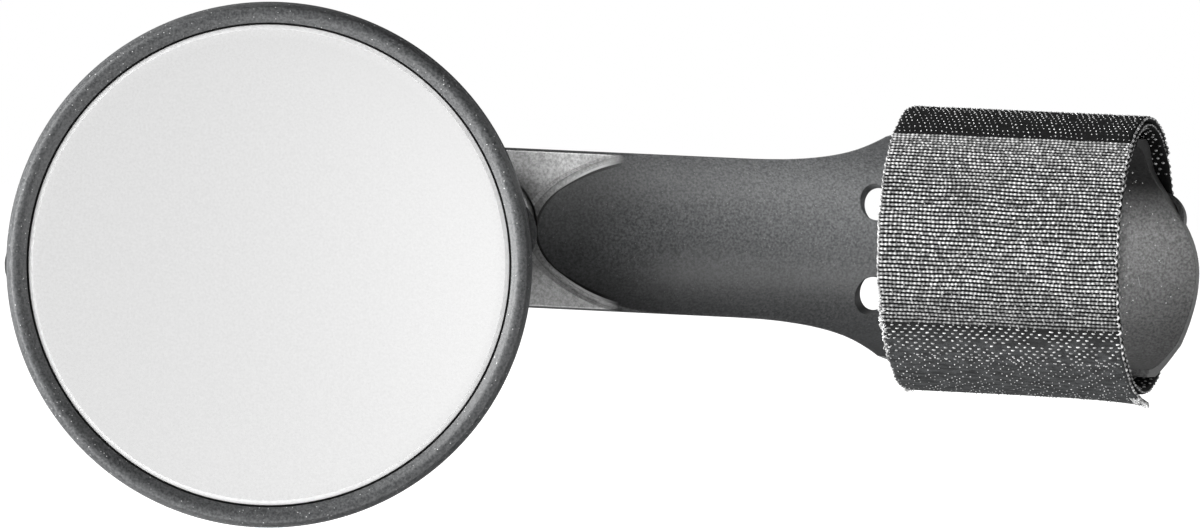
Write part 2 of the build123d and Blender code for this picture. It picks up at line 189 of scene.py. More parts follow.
def arm_front(s):
    """Masks on the arm's flat front between the head and the trough, with the step in it: the front itself,
    the step's wall, a painted highlight along the edge of the step's floor and a painted line of shade
    inside that."""
    depth = s.math("SUBTRACT", s.coordinate("Y"), FRONT_PLANE)
    high = s.math("ABSOLUTE", s.coordinate("Z"))
    inside = s.spread(high, FRONT_HALF, FRONT_HALF + 0.15 * MM, 1.0, 0.0)
    before_end = s.spread(s.coordinate("X"), FRONT_END, FRONT_END + 3.5 * MM, 1.0, 0.0)
    area = s.math("MULTIPLY", inside, before_end)
    floor_end = STEP_DEPTH + 0.01 * MM
    front = s.math("MULTIPLY", area, s.spread(depth, floor_end, floor_end + 0.01 * MM, 1.0, 0.0))
    wall_end = STEP_DEPTH - 0.07 * MM
    wall = s.spread(depth, wall_end, wall_end + 0.04 * MM, 1.0, 0.0)
    wall = s.math("MULTIPLY", s.spread(depth, 0.02 * MM, 0.05 * MM), wall)
    # the trough's side is steeper toward the arm's edges, where an equal depth makes a thinner line
    steepness = s.spread(high, 6 * MM, 11.5 * MM, 1.0, 6.0)
    over = s.math("DIVIDE", s.math("SUBTRACT", depth, STEP_DEPTH), steepness)
    ends = s.math("MULTIPLY", area, s.spread(high, 5 * MM, 8.5 * MM))
    # painted highlight along the edge of the step's floor, toward the arm's edges
    gleam = s.math("MULTIPLY", ends, s.spread(over, 0.06 * MM, 0.08 * MM, 1.0, 0.0))
    # painted line of shade just inside the step's edge
    line = s.math("MULTIPLY", area, s.spread(over, 0.14 * MM, 0.17 * MM, 1.0, 0.0))
    return front, wall, gleam, line


def front_tone(s, tone, fine, wall):
    """The flat front's colour is lightened as painted light, for the light a face turned toward the lamps
    would catch. It is lightest at a painted highlight beside the trough's upper edge, and on the step's
    wall, which is lightened against its own shade."""
    front_highlight = s.spread(s.distance(FRONT_HIGHLIGHT_SPOT), 1 * MM, 9 * MM, tone * 5.4, tone * 2.8)
    grain = s.spread(fine, 0.35, 0.65, 0.7, 1.3)
    return s.math("MULTIPLY", s.math("MULTIPLY", grain, front_highlight), s.spread(wall, 0, 1, 1.0, 1.9))


def tongue_tone(s, tone, fine):
    """Painted light and shade on the tongue: a painted pool of light on its middle, and the strap's painted
    shadow toward its top and beside the strap's edge.
    """
    near = s.spread(s.distance(TONGUE_LIGHT_SPOT), 2 * MM, 13 * MM, tone * 2.7, tone * 1.5)
    top = s.spread(s.coordinate("Z"), 4 * MM, 11 * MM, 1.0, 0.1)
    side = s.spread(s.coordinate("X"), STRAP_EDGE, STRAP_EDGE + 2.2 * MM, 0.15, 1.0)
    grain = s.spread(fine, 0.35, 0.65, 0.6, 1.4)
    return s.math("MULTIPLY", s.math("MULTIPLY", near, s.math("MULTIPLY", top, side)), grain)


def arm_painted_light(s, tone, colour, normal, fine):
    """Light and shade painted on the arm: a trough darkened toward its bottom and its tip, a tongue painted
    with a pool of light and the strap's shadow, and a flat front whose shading normal is turned and whose
    colour is lightened with a painted highlight.
    """
    # painted shade: the trough darkens toward its bottom and toward its tip by the head
    low = s.spread(s.coordinate("Z"), -8 * MM, 1 * MM, 0.6, 0.0)
    slope = s.spread(s.coordinate("X"), -75 * MM, -65 * MM, 0.5, 0.0)
    colour = s.mix(s.math("MAXIMUM", low, slope), colour, grey(0.01))
    colour = s.mix(s.spread(s.coordinate("X"), 0, 4 * MM), colour, tongue_tone(s, tone, fine))
    front, wall, gleam, line = arm_front(s)
    # the painted shade line, the painted highlight and the front's lightened colour go on here
    colour = s.mix(line, colour, grey(0.004))
    colour = s.mix(gleam, colour, grey(0.7))
    colour = s.mix(front, colour, front_tone(s, tone, fine, wall))
    turned = s.node("ShaderNodeMix", data_type="VECTOR")
    s.link(front, turned.inputs["Factor"])
    s.link(normal, turned.inputs[4])
    turned.inputs[5].default_value = FRONT_NORMAL
    unit = s.node("ShaderNodeVectorMath", operation="NORMALIZE")
    s.link(turned.outputs[1], unit.inputs[0])
    return colour, unit.outputs["Vector"]


def moulded_plastic(name, tone, rough, grain=1.0, glint_strength=0.2, light_paint=None):
    """Satin plastic from a spark-eroded mould: a fine grain, faint flow marks, and tiny bright specks
    painted into the colour as glints off the grain.
    """
    s = Shader(name)
    fine = s.noise(2600, 3.0, 0.6)
    coarse = s.noise(900, 2.0, 0.5)
    cloud = s.noise(45, 3.0, 0.55)
    shade = s.math("ADD", s.spread(fine, 0.35, 0.65, -0.18, 0.18), s.spread(cloud, 0.3, 0.7, -0.04, 0.04))
    base = s.mix(s.spread(shade, -0.2, 0.2), grey(tone * 0.5, -0.04), grey(tone * 1.55, -0.02))
    # painted glints: tiny bright specks mixed into the colour where light would glint off the grain
    cells = s.voronoi(2200)
    dot = s.spread(cells.outputs["Distance"], 0.1, 0.22, 1.0, 0.0)
    split = s.node("ShaderNodeSeparateColor")
    s.link(cells.outputs["Color"], split.inputs["Color"])
    glint_speck = s.math("MULTIPLY", dot, s.spread(split.outputs["Red"], 0.8, 0.86))
    colour = s.mix(s.math("MULTIPLY", glint_speck, glint_strength), base, grey(0.8))
    rounded = s.node("ShaderNodeBevel", samples=4)
    rounded.inputs["Radius"].default_value = 0.25 * MM
    normal = rounded.outputs["Normal"]
    if light_paint:
        colour, normal = light_paint(s, tone, colour, normal, fine)
    height = s.math("ADD", s.math("MULTIPLY", fine, 0.7), s.math("MULTIPLY", coarse, 0.5))
    s.set(Base_Color=colour, Normal=s.bump(height, 0.6 * grain, 0.06 * MM, normal))
    s.set(Roughness=s.spread(fine, 0.3, 0.7, rough - 0.06, rough + 0.08))
    s.surface.inputs["Specular IOR Level"].default_value = 0.38
    return s.material


arm_plastic = moulded_plastic("arm_plastic", 0.09, 0.38, light_paint=arm_painted_light)
rim_plastic = moulded_plastic("rim_plastic", 0.075, 0.34, grain=1.4, glint_strength=0.9)
head_plastic = moulded_plastic("head_plastic", 0.05, 0.42)


def silvered():
    """The mirror's silvered glass, with a faint haze."""
    s = Shader("lens_silver")
    fine = s.noise(2600, 2.0, 0.6)
    s.set(Base_Color=s.mix(s.spread(fine, 0.3, 0.7), grey(0.86), grey(0.93)), Metallic=1.0)
    s.set(Roughness=s.spread(fine, 0.3, 0.7, 0.06, 0.10))
    return s.material


def ground_glass():
    """The lens's bevel, ground and not polished."""
    s = Shader("lens_bevel")
    fine = s.noise(1800, 2.0, 0.6)
    s.set(Base_Color=s.mix(s.spread(fine, 0.3, 0.7), grey(0.85), grey(0.97)), Metallic=0.25)
    s.set(Roughness=s.spread(fine, 0.3, 0.7, 0.3, 0.45))
    return s.material


# the lens's painted back, also used on its edge, where the dark paint is painted shade of the gap under the
# rim's lip
def lens_paint_and_gap_shade():
    s = Shader("lens_back_paint_and_gap_shade")
    fine = s.noise(1500, 2.0)
    s.set(Base_Color=s.mix(s.spread(fine, 0.3, 0.7), grey(0.02), grey(0.035)), Roughness=0.6)
    return s.material


def zinc():
    """Zinc-plated steel of the ball stud and its fixing."""
    s = Shader("zinc_steel")
    fine = s.noise(1400, 3.0, 0.6)
    s.set(Base_Color=s.mix(s.spread(fine, 0.3, 0.7), grey(0.5, 0.01), grey(0.68, 0.01)), Metallic=1.0)
    s.set(Roughness=s.spread(fine, 0.3, 0.7, 0.22, 0.4))
    s.set(Normal=s.bump(fine, 0.15, 0.03 * MM))
    return s.material


def acetal():
    """The two ball seats' unpainted, off-white plastic."""
    s = Shader("acetal")
    fine = s.noise(900, 2.0)
    s.set(Base_Color=s.mix(s.spread(fine, 0.3, 0.7), (0.52, 0.51, 0.48), (0.62, 0.61, 0.58)))
    s.set(Roughness=s.spread(fine, 0.3, 0.7, 0.3, 0.42))
    s.set(Normal=s.bump(fine, 0.1, 0.02 * MM))
    return s.material


def foam():
    """The lens pad's closed-cell foam."""
    s = Shader("foam")
    cells = s.voronoi(2200)
    s.set(Base_Color=s.mix(cells.outputs["Distance"], grey(0.03), grey(0.08)), Roughness=0.9)
    s.set(Normal=s.bump(cells.outputs["Distance"], 0.6, 0.1 * MM))
    return s.material


def tape_ground(name, tone):
    """The dark woven ground between a tape's raised yarns, darkened almost to black above the strap's lower
    turn as painted shade, so that the lower turn shows lighter as if lit from below.
    """
    s = Shader(name)
    weft = s.noise(1500, 2.0, 0.5, stretch=(0.35, 1, 1))
    fine = s.noise(5200, 2.0, 0.6)
    shade = s.math("MULTIPLY", weft, fine)
    # painted shade: above the strap's lower turn the ground is darkened, so the lower turn shows lighter
    lit_from_below = s.spread(s.coordinate("Z"), -14 * MM, -11 * MM, 1.0, 0.17)
    woven = s.mix(s.spread(shade, 0.15, 0.4), grey(tone * 0.4, -0.03), grey(tone * 1.8, -0.03))
    s.set(Base_Color=s.mix(lit_from_below, grey(tone * 0.05), woven))
    s.set(Roughness=s.spread(fine, 0.3, 0.7, 0.6, 0.9))
    s.surface.inputs["Specular IOR Level"].default_value = 0.12
    s.set(Normal=s.bump(shade, 0.7, 0.12 * MM))
    return s.material


def yarn(name, dark, light):
    """Glossy nylon yarn: its tint goes from dark to light, with fine twisted filaments."""
    s = Shader(name)
    tint = s.node("ShaderNodeAttribute", attribute_name="tint")
    filaments = s.noise(9000, 2.0, 0.5, stretch=(0.3, 1, 1))
    shade = s.math("ADD", tint.outputs["Fac"], s.spread(filaments, 0.3, 0.7, -0.12, 0.12))
    s.set(Base_Color=s.mix(s.math("POWER", s.math("MAXIMUM", shade, 0.0), 1.4), grey(dark), grey(light)))
    s.set(Roughness=s.spread(filaments, 0.3, 0.7, 0.25, 0.42))
    s.set(Normal=s.bump(filaments, 0.4, 0.03 * MM))
    return s.material


# ============================== mesh helpers ==============================


def piece(name, points, faces, materials, body, face_slots=None):
    """A smooth-shaded mesh that rides on a body."""
    mesh = bpy.data.meshes.new(name)
    mesh.from_pydata([tuple(p) for p in points], [], [tuple(f) for f in faces])
    mesh.validate()
    made = bpy.data.objects.new(name, mesh)
    bpy.context.scene.collection.objects.link(made)
    for material in materials:
        mesh.materials.append(material)
    if face_slots is not None:
        mesh.polygons.foreach_set("material_index", face_slots)
    mesh.polygons.foreach_set("use_smooth", [True] * len(mesh.polygons))
    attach(made, body)
    return made


def paint(node, material):
    """Give a CAD node its material."""
    target = frame["nodes"][node]
    for slot in target.material_slots:
        slot.material = material


def head_point(radius, angle, height):
    """A point of the head: polar about the lens's centre, height from the ball's plane."""
    return LENS_CENTRE + SIDE * radius * math.cos(angle) + UP * radius * math.sin(angle) + FACE * height


def lathe(name, profile, materials, slots, segments=320):
    """A solid turned about the lens's axis. profile is (radius, height) in mm, going round, and
    where it starts and ends on the axis it is closed there with a single point."""
    poles = profile[0][0] == 0
    ring = profile[1:-1] if poles else profile
    points, faces, face_slots = [], [], []
    rows = len(ring)
    for i in range(segments):
        angle = 2 * math.pi * i / segments
        for radius, height in ring:
            points.append(head_point(radius * MM, angle, height * MM))
    if poles:
        points += [head_point(0, 0, profile[0][1] * MM), head_point(0, 0, profile[-1][1] * MM)]
    for i in range(segments):
        here, there = i * rows, (i + 1) % segments * rows
        if poles:
            faces += [(len(points) - 2, here, there), (len(points) - 1, there + rows - 1, here + rows - 1)]
            face_slots += [slots[0], slots[-1]]
        for k in range(rows - 1 if poles else rows):
            ahead = (k + 1) % rows
            faces.append((here + k, here + ahead, there + ahead, there + k))
            face_slots.append(slots[k + 1] if poles else slots[k])
    return piece(name, points, faces, materials, HEAD, face_slots=face_slots)


def arc_points(centre, radii, start, end, count):
    made = []
    for i in range(count + 1):
        angle = math.radians(start + (end - start) * i / count)
        made.append((centre[0] + radii[0] * math.cos(angle), centre[1] + radii[1] * math.sin(angle)))
    return made


# ============================== the mirror head ==============================

LENS_R, LENS_FRONT, LENS_CURVE, LENS_T = 37.9, 13.7, 700.0, 1.8
BEVEL_START, BEVEL_END, BEVEL_D = 36.35, 37.0, 0.17


def lens_height(radius):
    return LENS_FRONT - LENS_CURVE + math.sqrt(LENS_CURVE ** 2 - radius ** 2)


def make_lens():
    """Front glass, ground bevel, an edge painted dark as painted shade of the gap under the rim's lip, and
    a painted back. Each edge has a ring of points close by.
    """
    front = [(BEVEL_START * i / 24, lens_height(BEVEL_START * i / 24)) for i in range(25)]
    top, low = front[-1][1], front[-1][1] - BEVEL_D
    front = front[:-1] + [(BEVEL_START - 0.04, top)]
    bevel = [(BEVEL_START, top), (BEVEL_START + 0.04, top - 0.01)]
    bevel += [(BEVEL_END - 0.04, low), (BEVEL_END, low - 0.01)]
    edge = [(BEVEL_END + 0.03, low - 0.12), (LENS_R - 0.05, low - 0.3), (LENS_R, low - 0.36)]
    back = [(LENS_R * i / 8, lens_height(LENS_R * i / 8) - LENS_T) for i in range(8, -1, -1)]
    rim_of_back = [(LENS_R, back[0][1] + 0.06), (LENS_R - 0.05, back[0][1])]
    profile = front + bevel + edge + rim_of_back + back[1:]
    slots = [0] * 24 + [1] * 4 + [2] * (len(profile) - 28)
    return lathe("lens_glass", profile, [silvered(), ground_glass(), lens_paint_and_gap_shade()], slots, 360)


def make_rim():
    """A half-round bead with a sharp inner lip over the lens, and a skirt over the housing."""
    wall, skirt, outer = 38.02, 38.9, 40.5
    crest = arc_points((38.95, 11.6), (1.7, 2.35), 180 - 12, 0, 22)
    lip = [(37.7, 12.8), (37.32, 13.06), (37.36, 13.16)]
    fall = arc_points((38.95, 11.6), (outer - 38.95, 2.35), 60, 0, 12)
    side = [(outer, 11.0), (outer, 8.75), (40.42, 8.5), (40.2, 8.3)]
    inside = [(39.0, 8.3), (skirt, 8.4), (skirt, 10.3), (wall, 10.3), (wall, 12.78)]
    profile = lip + [p for p in crest if p[1] > 13.2] + fall + side + inside
    return lathe("bezel_rim", profile, [rim_plastic], [0] * len(profile), 400)


lens = make_lens()
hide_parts("mirror_lens")

rim = make_rim()
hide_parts("bezel_ring")

paint("arm_saddle", arm_plastic)
for node in ("rear_shell", "socket_retainer", "lens_carrier", "nut_cap"):
    paint(node, head_plastic)
steel = zinc()
for node in ("ball_stud", "stud_washer", "stud_spring_washer", "stud_nut", "retainer_screws"):
    paint(node, steel)
seat_plastic = acetal()
for node in ("rear_ball_seat", "front_ball_seat"):
    paint(node, seat_plastic)

FOAM_R, FOAM_BACK = 35.5, 9.95


def make_foam_pad():
    """A disc of adhesive foam, squeezed between the carrier and the lens, so that its edge swells."""
    front = [(FOAM_R * i / 10, lens_height(FOAM_R * i / 10) - LENS_T - 0.03) for i in range(11)]
    edge_top = front[-1][1]
    half = (edge_top - FOAM_BACK) / 2
    swell = arc_points((FOAM_R, FOAM_BACK + half), (0.3, half), 75, -75, 6)
    back = [(FOAM_R * i / 6, FOAM_BACK) for i in range(6, -1, -1)]
    profile = front + swell + back
    return lathe("foam_pad", profile, [foam()], [0] * len(profile), 240)


foam_pad = make_foam_pad()
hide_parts("lens_foam_pad")

# ============================== the strap ==============================
# Angles go about +X from +Y, the saddle's back, through +Z, up: the front is at 180 degrees.
# The hook tape lies outside the loop tape. Sizes here are in mm.

HOOK_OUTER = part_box("strap_hook_tape")[1][2] / MM
LOOP_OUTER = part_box("strap_loop_tape")[1][2] / MM
TAPE = 0.9
STRAP_HALF = 18.7
HOOK_START, HOOK_END = 48.0, 278.0
LOOP_START, LOOP_END = 216.0, 573.0
RIB_START, RIB_END = 126.0, 212.0
ROW_PITCH, LUMP_PITCH, HOOK_PITCH = 0.64, 0.66, 1.32
# the loop tape's left edge shows beside the hook tape's
LEFT_PROUD = 0.35
STITCH_ROWS, STITCHES, STITCH_PITCH, STITCH_HALF = (54.0, 62.0), 13, 2.6, 0.9
PATCH_ANGLE, PATCH_OUTER = 38.0, 19.8
HOOD_RADIUS = 17.0
# X beside the strap's right edge, and the fibre's X and angle on the tongue
TONGUE_EDGE = 8.6
FIBRE_AT = (13.6, -13.5)


def around(x, radius, degrees):
    angle = math.radians(degrees)
    return Vector((x, radius * math.cos(angle), radius * math.sin(angle))) * MM


def strap_side(side, degrees, proud=0.0):
    """X of a tape's edge: side is -1 or 1. The tape lies a little askew and its edges ripple."""
    angle = math.radians(degrees)
    lean = 0.025 * HOOK_OUTER * math.cos(angle) + 0.024 * HOOK_OUTER * math.sin(angle)
    ripple = 0.05 * math.sin(angle * 17 + side) + 0.03 * math.sin(angle * 41 + 2 * side)
    return side * (STRAP_HALF + proud) - lean + ripple


def tail_lift(degrees, across):
    """The hook tape's free end stands off the loop tape, most of all at its outer corner."""
    past = max(0.0, (degrees - (HOOK_END - 20)) / 20)
    return past ** 2 * (0.15 + 1.0 * across ** 4)


def no_lift(degrees, across):
    return 0.0


def band(
    name, inner, outer, start, end, material,
    lift=no_lift, proud=(0.0, 0.0), columns=96, rows=240, side_at=strap_side,
):
    """A closed curved tape, rounded along its sides. outer may be a function of the angle."""
    points, faces = [], []
    for face in (1, 0):
        for i in range(rows + 1):
            degrees = start + (end - start) * i / rows
            left, right = side_at(-1, degrees, proud[0]), side_at(1, degrees, proud[1])
            top = outer(degrees) if callable(outer) else outer
            for j in range(columns + 1):
                t = j / columns
                round_off = 0.22 * (1 - min(t, 1 - t, 0.011) / 0.011) ** 2
                radius = top - round_off if face else inner + round_off
                points.append(around(left + (right - left) * t, radius + lift(degrees, t), degrees))
    across = columns + 1
    sheet = (rows + 1) * across
    for i in range(rows):
        for j in range(columns):
            a = i * across + j
            b = sheet + a
            faces.append((a, a + across, a + across + 1, a + 1))
            faces.append((b, b + 1, b + across + 1, b + across))
        a, b = i * across, (i + 1) * across
        faces.append((a, sheet + a, sheet + b, b))
        a, b = a + columns, b + columns
        faces.append((a, b, sheet + b, sheet + a))
    for j in range(columns):
        a = rows * across + j
        faces.append((j, j + 1, sheet + j + 1, sheet + j))
        faces.append((a, sheet + a, sheet + a + 1, a + 1))
    return piece(name, points, faces, [material], ARM)


class Bundle:
    """Many yarns, loops and beads gathered into one piece, each with its own tint from 0 to 1."""

    def __init__(self):
        self.points, self.faces, self.tints, self.count = [], [], [], 0

    def add(self, points, faces, tints):
        self.points.append(points)
        self.faces.extend(tuple(self.count + v for v in face) for face in faces)
        self.tints.append(tints)
        self.count += len(points)

    def tube(self, path, radii, tints, sides=6, outs=None):
        """A closed round yarn along a path, with a radius and a tint at each point."""
        path = np.array([tuple(p) for p in path])
        radii = np.array(radii)[:, None, None] * MM
        if outs is None:
            outs = path * (0, 1, 1)
        along = np.gradient(path, axis=0)
        along /= np.linalg.norm(along, axis=1)[:, None]
        side = np.cross(along, outs)
        side /= np.linalg.norm(side, axis=1)[:, None]
        up = np.cross(side, along)
        turn = np.arange(sides) * 2 * math.pi / sides
        ring = np.cos(turn)[None, :, None] * side[:, None, :] + np.sin(turn)[None, :, None] * up[:, None, :]
        points = (path[:, None, :] + ring * radii).reshape(-1, 3)
        faces = []
        for i in range(len(path) - 1):
            for k in range(sides):
                a, b = i * sides + k, i * sides + (k + 1) % sides
                faces.append((a, a + sides, b + sides, b))
        last = (len(path) - 1) * sides
        faces += [tuple(range(sides)), tuple(last + k for k in reversed(range(sides)))]
        self.add(points, faces, np.repeat(tints, sides))

    def bead(self, centre, half, tint, wobble=0.0, inward=False, segments=7):
        """A small half-sunk knob on a tape: half sizes along X, round the strap, and outward."""
        out = Vector((0, centre.y, centre.z)).normalized()
        round_about = Vector((1, 0, 0)).cross(out)
        along = Vector((1, 0, 0)) * math.cos(wobble) + round_about * math.sin(wobble)
        if inward:
            out = -out
        across = out.cross(along)
        points = [centre + out * half[2] * MM]
        rings = 3
        for r in range(1, rings + 1):
            polar = math.pi / 2 * 1.12 * r / rings
            for k in range(segments):
                turn = 2 * math.pi * k / segments
                points.append(
                    centre
                    + along * (half[0] * MM * math.sin(polar) * math.cos(turn))
                    + across * (half[1] * MM * math.sin(polar) * math.sin(turn))
                    + out * (half[2] * MM * math.cos(polar))
                )
        faces = [(0, 1 + k, 1 + (k + 1) % segments) for k in range(segments)]
        for r in range(rings - 1):
            for k in range(segments):
                a, b = 1 + r * segments + k, 1 + r * segments + (k + 1) % segments
                faces.append((a, a + segments, b + segments, b))
        faces.append(tuple(1 + (rings - 1) * segments + k for k in reversed(range(segments))))
        self.add(np.array([tuple(p) for p in points]), faces, np.full(len(points), tint))

    def make(self, name, material, slot):
        made = piece(name, np.concatenate(self.points), self.faces, [material], ARM)
        tint = made.data.attributes.new("tint", "FLOAT", "POINT")
        tint.data.foreach_set("value", np.concatenate(self.tints).astype(np.float32))
        return made


def drift(x, degrees, size, scale, seed=0.0):
    """Smooth random wander over the tape."""
    round_strap = math.radians(degrees) * HOOK_OUTER
    return size * noise.noise(Vector((x * scale, round_strap * scale * 1.7, seed)))


def hook_ground_radius(degrees):
    """The ground lies low between the raised rows of the front and higher on the plain stretches."""
    past = max(RIB_START - degrees, degrees - RIB_END - 6, 0) / 3
    return HOOK_OUTER - 0.27 + 0.19 * min(1.0, past)


def tape_point(x, degrees, height):
    """A point on the hook tape, at a height over its ground."""
    left, right = strap_side(-1, degrees), strap_side(1, degrees)
    across = (x - left) / (right - left)
    return around(x, hook_ground_radius(degrees) + height + tail_lift(degrees, across), degrees)


def make_rows():
    """The front's rows: strings of nylon lumps, with hooks' legs between every second pair."""
    rows, hooks = Bundle(), Bundle()
    step = math.degrees(ROW_PITCH / HOOK_OUTER)
    count = int((RIB_END - RIB_START) / step)
    for row in range(count):
        degrees = RIB_START + row * step
        left, right = strap_side(-1, degrees) + 0.12, strap_side(1, degrees) - 0.12
        path, radii, tints = [], [], []
        row_light = dice.uniform(-0.08, 0.06)
        x = left
        while x < right:
            length = LUMP_PITCH * dice.uniform(0.85, 1.15)
            girth = dice.uniform(0.165, 0.205)
            light = dice.uniform(0.8, 1.0) if dice.random() < 0.55 else dice.uniform(0.4, 0.7)
            worn = 0.5 + 0.5 * math.tanh(6 * (drift(x, degrees, 1.0, 0.13, 5) - 0.3))
            light = light * (1 - 0.4 * worn) + 0.2 * worn + row_light
            # painted shade: the rows darken toward the lower end of the ribbed front
            light *= 1 - 0.45 * max(0.0, (degrees - 188) / (RIB_END - 188))
            # the third number lightens each lump's tint as a painted glint, brightest across the lump's
            # middle
            for k, size, painted_glint in ((0, 0.7, 0.3), (0.28, 0.97, 0.6), (0.5, 1.0, 1.0), (0.72, 0.97, 0.6)):
                at = x + length * k
                if at > right:
                    break
                shift = drift(at, degrees, 0.22, 0.12) + drift(at, degrees, 0.07, 0.8, row)
                height = 0.06 + 0.03 * size - 0.05 * worn
                path.append(tape_point(at, degrees + math.degrees(shift / HOOK_OUTER), height))
                radii.append(girth * size)
                tints.append(min(1.0, max(0.0, light * painted_glint)))
            x += length
        rows.tube(path, radii, tints, sides=6)
        if row % 2:
            continue
        for side in (-1, 1):
            end = strap_side(side, degrees)
            turn = []
            for t, proud in ((0.0, -0.25), (0.12, 0.02), (0.5, 0.17), (0.88, 0.02), (1.0, -0.25)):
                turn.append(tape_point(end + side * proud, degrees + t * step, 0.05))
            rows.tube(turn, [0.12, 0.14, 0.15, 0.14, 0.12], [dice.uniform(0.25, 0.75)] * 5, sides=5)
        x = left + HOOK_PITCH * (0.3 if row % 4 else 0.8)
        while x < right - 0.3:
            if dice.random() < 0.7:
                shift = drift(x, degrees, 0.22, 0.12) + dice.uniform(-0.05, 0.05)
                at = degrees + math.degrees((shift + 0.5 * ROW_PITCH) / HOOK_OUTER)
                half = (dice.uniform(0.07, 0.13), dice.uniform(0.2, 0.36), dice.uniform(0.12, 0.26))
                hooks.bead(tape_point(x, at, 0), half, dice.uniform(0.1, 0.45), dice.uniform(-0.35, 0.35))
            x += HOOK_PITCH * dice.uniform(0.85, 1.15)
    return rows, hooks


def scatter_dots(bundle, start, end, row_pitch, pitch, half, light, keep, jitter=0.12, lean=0.0):
    """Hooks seen end on: dots in rows, each row half a pitch aside from the last."""
    step = math.degrees(row_pitch / HOOK_OUTER)
    row = 0
    degrees = start
    while degrees < end:
        part = (degrees - start) / (end - start)
        left, right = strap_side(-1, degrees), strap_side(1, degrees)
        x = left + 0.45 + (row % 2) * pitch / 2
        while x < right - 0.35:
            if dice.random() < keep(part):
                at = degrees + dice.uniform(-jitter, jitter) * step + drift(x, degrees, 0.5, 0.2) * step
                scale = dice.uniform(0.75, 1.2)
                size = tuple(v * scale for v in half)
                centre = tape_point(x + dice.uniform(-jitter, jitter) * pitch, at, 0)
                bundle.bead(centre, size, light(part), lean + dice.uniform(-0.4, 0.4))
            x += pitch
        row += 1
        degrees += step


def scatter_dashes(bundle):
    """Below the front's rows the yarn dives into the ground and shows only as short dashes."""
    step = math.degrees(ROW_PITCH / HOOK_OUTER)
    degrees, row = RIB_END, 0
    while degrees < RIB_END + 17:
        left, right = strap_side(-1, degrees) + 0.3, strap_side(1, degrees) - 0.3
        x = left + HOOK_PITCH * (row % 2) / 2
        while x < right:
            length = dice.uniform(0.42, 0.68) * (1 - 0.035 * row)
            if dice.random() < 0.97 - 0.03 * row:
                path, tilt = [], dice.uniform(-0.12, 0.12)
                for k in (-0.5, -0.3, 0.0, 0.3, 0.5):
                    at = x + k * length
                    turn = degrees + math.degrees((drift(at, degrees, 0.2, 0.12) + tilt * k) / HOOK_OUTER)
                    path.append(tape_point(at, turn, 0.05 - 0.25 * k * k))
                girth = dice.uniform(0.11, 0.145)
                light = dice.uniform(0.4, 0.85) * (1 - 0.03 * row)
                bundle.tube(path, [girth * v for v in (0.5, 0.9, 1, 0.9, 0.5)], [light] * 5, sides=5)
            x += HOOK_PITCH * dice.uniform(0.97, 1.03)
        row += 1
        degrees += step


def make_selvedge(bundle, side, start, end, radius, proud, lift=no_lift, girth=0.17, seed=0.0):
    """The yarn that turns back along a tape's edge, a lump for each pair of rows."""
    path, radii, tints = [], [], []
    length = math.radians(end - start) * radius
    count = int(length / 0.16)
    light = 0.4
    for i in range(count + 1):
        degrees = start + (end - start) * i / count
        run = i / count * length
        wave = math.sin(run * math.pi / ROW_PITCH + seed)
        if i % 4 == 0:
            light = dice.uniform(0.15, 0.9)
        across = (1 + side) / 2
        wander = 0.05 * noise.noise(Vector((run, seed, 0)))
        x = strap_side(side, degrees, proud) + side * (0.10 * wave - 0.02) + wander
        height = radius - 0.12 + lift(degrees, across) + 0.05 * noise.noise(Vector((run * 0.8, seed, 4)))
        path.append(around(x, height, degrees))
        radii.append(girth * (0.8 + 0.3 * wave))
        tints.append(light * (0.6 + 0.4 * wave))
    bundle.tube(path, radii, tints, sides=6)


def add_loop(bundle, centre, out, size, thickness, light, twist):
    """A small stray loop of filament that stands out of the cloth."""
    side = out.cross(Vector((math.cos(twist), 0.3, math.sin(twist)))).normalized()
    normal = side.cross(out)
    path = []
    for k in range(7):
        turn = math.pi * (-0.1 + 1.2 * k / 6)
        bend = dice.uniform(-0.12, 0.12)
        offset = side * math.cos(turn) + out * math.sin(turn) * 1.2 + normal * bend
        path.append(centre + offset * size * MM)
    outs = np.array([tuple(normal)] * 7)
    bundle.tube(path, [thickness] * 7, [light] * 7, sides=5, outs=outs)


def make_pile():
    """The loop tape's plush side, where the hook tape doesn't cover it: a mat of small loops."""
    bundle = Bundle()
    for _ in range(2600):
        degrees = dice.uniform(HOOK_END + 1, 360 + HOOK_START - 1)
        if LOOP_END - 363 < degrees < LOOP_START + 3:
            continue
        x = dice.uniform(strap_side(-1, degrees) + 0.3, strap_side(1, degrees) - 0.3)
        centre = around(x, LOOP_OUTER - 0.1, degrees)
        out = Vector((0, centre.y, centre.z)).normalized()
        size, girth = dice.uniform(0.22, 0.42), dice.uniform(0.035, 0.06)
        add_loop(bundle, centre, out, size, girth, dice.random(), dice.uniform(0, 6.3))
    return bundle


def make_inside_dots():
    """Knots on the loop tape's inner face, round the hood."""
    bundle = Bundle()
    radius = LOOP_OUTER - TAPE
    step = math.degrees(1.1 / radius)
    row, degrees = 0, 40.0
    while degrees < 320:
        left, right = strap_side(-1, degrees), strap_side(1, degrees)
        x = left + 0.5 + (row % 2) * 0.62
        while x < right - 0.4:
            at = degrees + dice.uniform(-0.2, 0.2) * step
            size = dice.uniform(0.8, 1.2)
            half = (0.27 * size, 0.22 * size, 0.17 * size)
            centre = around(x + dice.uniform(-0.15, 0.15), radius + 0.02, at)
            bundle.bead(centre, half, dice.uniform(0.2, 1.0), inward=True)
            x += 1.25
        row += 1
        degrees += step
    return bundle


